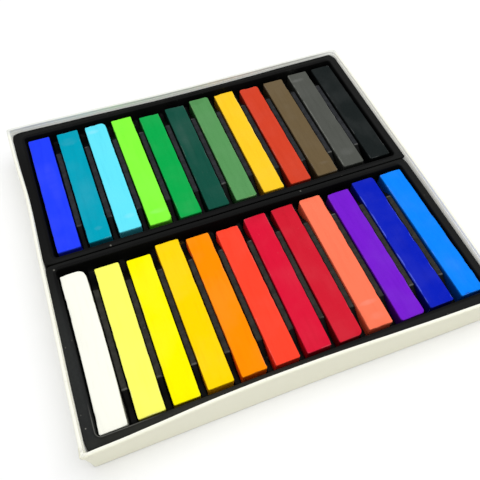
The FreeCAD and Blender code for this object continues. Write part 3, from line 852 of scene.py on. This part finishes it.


# colour, edge and painted_flank are screen values; edge also colours the painted glint;
# painted_flank is the painted shade of the sides, and lit how light that shade is, paler for
# painted light from warm neighbours; bands as for the finish
STICKS = {
    "blue": dict(colour=(35, 64, 251), turn=0.35, bands=((-69.6, 42.0, 3.4, 17.0, 0.06),)),
    "teal": dict(
        colour=(0, 159, 184),
        turn=0.23,
        bands=(
            (-58.2, 62.5, 5.0, 3.0, 0.10),
            (-57.3, 11.4, 2.0, 1.3, 0.12),
            (-57.4, 32.0, 4.0, 18.0, 0.03),
        ),
    ),
    "cyan": dict(
        colour=(99, 228, 248),
        turn=0.05,
        corners=((1, 1, 2.3),),
        bands=((-46.8, 64.5, 3.6, 1.6, 0.45), (-43.6, 13.0, 3.0, 1.6, 0.42)),
    ),
    "lime": dict(
        colour=(134, 250, 62),
        turn=0.38,
        aside=-0.15,
        dents=((4.6, -31.4, 9.6, 1.6, 0.8),),
        bands=((-31.4, 11.2, 5.0, 1.6, 0.42), (-33.4, 60.0, 4.5, 5.0, -0.14)),
    ),
    "green": dict(colour=(9, 166, 74), turn=0.45, bands=((-19.0, 8.0, 5.0, 5.0, 0.05),)),
    "deep_green": dict(colour=(20, 77, 63), turn=-0.1, bands=((-8.4, 44.0, 2.4, 18.0, 0.05),)),
    "leaf_green": dict(
        colour=(87, 148, 88),
        edge=(150, 192, 126),
        corners=((1, 1, 1.3),),
        bands=((5.0, 66.4, 4.4, 2.2, -0.45), (6.0, 52.0, 4.5, 6.0, -0.12)),
    ),
    "amber": dict(
        colour=(250, 201, 38),
        painted_flank=(230, 160, 30),
        edge=(255, 226, 120),
        turn=0.1,
        dents=((-3.6, 32.2, 9.8, 2.0, 0.4),),
        painted_glint=1,
    ),
    "vermilion": dict(
        colour=(207, 65, 40),
        turn=0.1,
        corners=((1, 1, 1.5), (-1, 1, 1.4)),
        bands=((32.6, 8.0, 5.0, 6.0, -0.12),),
    ),
    "brown": dict(
        colour=(104, 88, 62),
        turn=0.13,
        bands=((45.4, 10.6, 3.0, 1.2, 0.16), (44.4, 50.0, 3.0, 16.0, 0.03)),
    ),
    "grey": dict(
        colour=(80, 82, 77),
        edge=(126, 128, 122),
        turn=-0.33,
        aside=0.12,
        short=(-0.1, -0.05),
        bands=((56.9, 63.6, 4.2, 1.5, 0.26), (58.6, 13.0, 4.0, 3.0, 0.10)),
        worn=1.2,
        painted_glint=-1,
    ),
    "black": dict(colour=(26, 31, 31), turn=0.1),
    "white": dict(
        colour=(250, 250, 238),
        bow=0.40,
        aside=-0.45,
        short=(-0.6, 0.1),
        corners=((1, 1, 3.1), (-1, 1, 0.5)),
    ),
    "pale_yellow": dict(
        colour=(251, 251, 104),
        edge=(255, 255, 176),
        painted_flank=(240, 220, 30),
        turn=0.05,
        aside=0.1,
        short=(-0.1, 0.35),
    ),
    "yellow": dict(colour=(254, 244, 0), painted_flank=(240, 200, 0), turn=0.06),
    "golden": dict(
        colour=(253, 213, 0),
        painted_flank=(255, 160, 0),
        lit=1.4,
        turn=0.2,
        aside=-0.12,
        bands=((-33.0, -8.0, 5.0, 6.0, -0.06),),
    ),
    "orange": dict(colour=(253, 142, 0), painted_flank=(255, 92, 0), lit=1.7, turn=0.3, aside=-0.2),
    "flame": dict(
        colour=(252, 69, 46),
        lit=1.2,
        turn=0.45,
        aside=-0.15,
        bands=((-11.0, -11.6, 1.2, 0.8, -0.5),),
    ),
    "crimson": dict(
        colour=(217, 22, 55),
        lit=0.6,
        turn=0.1,
        bands=((5.0, -6.0, 5.5, 5.0, -0.34), (5.6, -67.0, 5.5, 5.0, -0.22)),
    ),
    "dark_red": dict(
        colour=(206, 29, 49),
        turn=0.4,
        corners=((1, -1, 2.2),),
        bands=((18.0, -6.0, 5.5, 5.0, -0.24),),
    ),
    "salmon": dict(
        colour=(253, 121, 88),
        edge=(255, 138, 100),
        lit=0.9,
        turn=-0.05,
        corners=((-1, 1, 1.2),),
        dents=((1.0, -32.4, 9.6, 2.2, 0.35), (-3.8, -32.2, 9.0, 1.5, 0.4)),
        bands=(
            (30.9, -58.4, 4.6, 1.3, 0.50),
            (31.4, -64.6, 4.0, 2.0, 0.14),
            (29.6, -5.6, 5.0, 1.6, -0.30),
        ),
    ),
    "purple": dict(
        colour=(117, 29, 204),
        turn=0.3,
        short=(-0.2, 0.5),
        corners=((-1, 1, 1.2), (-1, -1, 1.1), (1, -1, 1.4)),
        bands=((44.0, -6.0, 5.0, 5.0, -0.2),),
    ),
    "deep_blue": dict(
        colour=(9, 31, 183),
        edge=(96, 114, 232),
        turn=0.35,
        aside=-0.22,
        short=(-0.1, -0.1),
        corners=((1, 1, 1.3),),
        worn=1.2,
        painted_glint=-1,
    ),
    "sky": dict(
        colour=(12, 132, 250),
        turn=0.5,
        aside=0.27,
        short=(-0.3, 0.05),
        dents=((-2.0, -32.2, 9.8, 2.2, 0.55),),
        bands=((70.5, -56.0, 3.5, 12.0, 0.03),),
    ),
}


# ---------------------------------------------------------------- table, lamps, camera


def make_table():
    """The plain pale table, a hair below the tray's foot."""
    mesh = bmesh.new()
    bmesh.ops.create_grid(mesh, x_segments=8, y_segments=8, size=TABLE_HALF)
    data = bpy.data.meshes.new("table")
    mesh.to_mesh(data)
    mesh.free()
    data.materials.append(table_finish())
    table = bpy.data.objects.new("table", data)
    table.location.z = -TABLE_DROP
    bpy.context.scene.collection.objects.link(table)


def make_lamp(name, size, power, place):
    """A round soft lamp that faces the middle of the table."""
    light = bpy.data.lights.new(name, "AREA")
    light.shape, light.size, light.energy = "DISK", size, power
    lamp = bpy.data.objects.new(name, light)
    lamp.location = place
    lamp.rotation_euler = Vector(place).to_track_quat("Z", "Y").to_euler()
    bpy.context.scene.collection.objects.link(lamp)


def make_sky(level):
    """Even light from all round, and a paler ground where a lens or a reflection looks past it."""
    world = bpy.data.worlds.new("studio")
    world.use_nodes = True
    nodes, links = world.node_tree.nodes, world.node_tree.links
    nodes.clear()
    path = nodes.new("ShaderNodeLightPath")
    dim, pale = nodes.new("ShaderNodeBackground"), nodes.new("ShaderNodeBackground")
    dim.inputs["Strength"].default_value = level
    pale.inputs["Color"].default_value = STUDIO_PALE
    mix, end = nodes.new("ShaderNodeMixShader"), nodes.new("ShaderNodeOutputWorld")
    seen = path.outputs["Is Camera Ray"]
    for ray in ("Is Glossy Ray", "Is Transmission Ray"):
        either = nodes.new("ShaderNodeMath")
        either.operation = "MAXIMUM"
        links.new(seen, either.inputs[0])
        links.new(path.outputs[ray], either.inputs[1])
        seen = either.outputs[0]
    links.new(seen, mix.inputs[0])
    links.new(dim.outputs[0], mix.inputs[1])
    links.new(pale.outputs[0], mix.inputs[2])
    links.new(mix.outputs[0], end.inputs[0])
    bpy.context.scene.world = world


def make_camera():
    """The lens stands over the front left, turned a little about its own axis."""
    place = Vector((-54.276, -128.613, 208.867)) * MM
    aim = Vector((-4.635, -14.226, 15.0)) * MM
    lens = bpy.data.cameras.new("camera")
    lens.sensor_width, lens.lens = 36.0, 42.17
    lens.clip_start, lens.clip_end = 0.01, 20.0
    camera = bpy.data.objects.new("camera", lens)
    look = (place - aim).to_track_quat("Z", "Y").to_matrix().to_4x4()
    roll = Matrix.Rotation(math.radians(2.322), 4, "Z")
    camera.matrix_world = Matrix.Translation(place) @ look @ roll
    bpy.context.scene.collection.objects.link(camera)
    bpy.context.scene.camera = camera


make_camera()
make_cover_paper()
make_greyboard()
make_corner_stays()
for row in ("rear", "front"):
    finish = formed_sheet_finish(row + "_sheet", row + "_insert", CRESTS[row], ZONES[row])
    make_formed_sheet(row + "_formed_sheet", row + "_insert", row + "_insert_body", finish)
for stick, facts in STICKS.items():
    facts = dict(facts)
    body = tone(*facts.pop("colour"))
    edge = tone(*facts.pop("edge")) if "edge" in facts else toward(body, WHITE, 0.10)
    painted_flank = tone(*facts.pop("painted_flank")) if "painted_flank" in facts else body
    painted_flank = deeper(painted_flank, facts.pop("lit", FLANK_LIT), FLANK_DEEP, FLANK_TOP)
    make_stick(stick, body, edge, painted_flank, **facts)
make_table()
make_lamp("window", 1.1, 5.4, (0.15, 0.0, 0.90))
make_sky(0.76)
bpy.context.scene.view_settings.view_transform = "Standard"
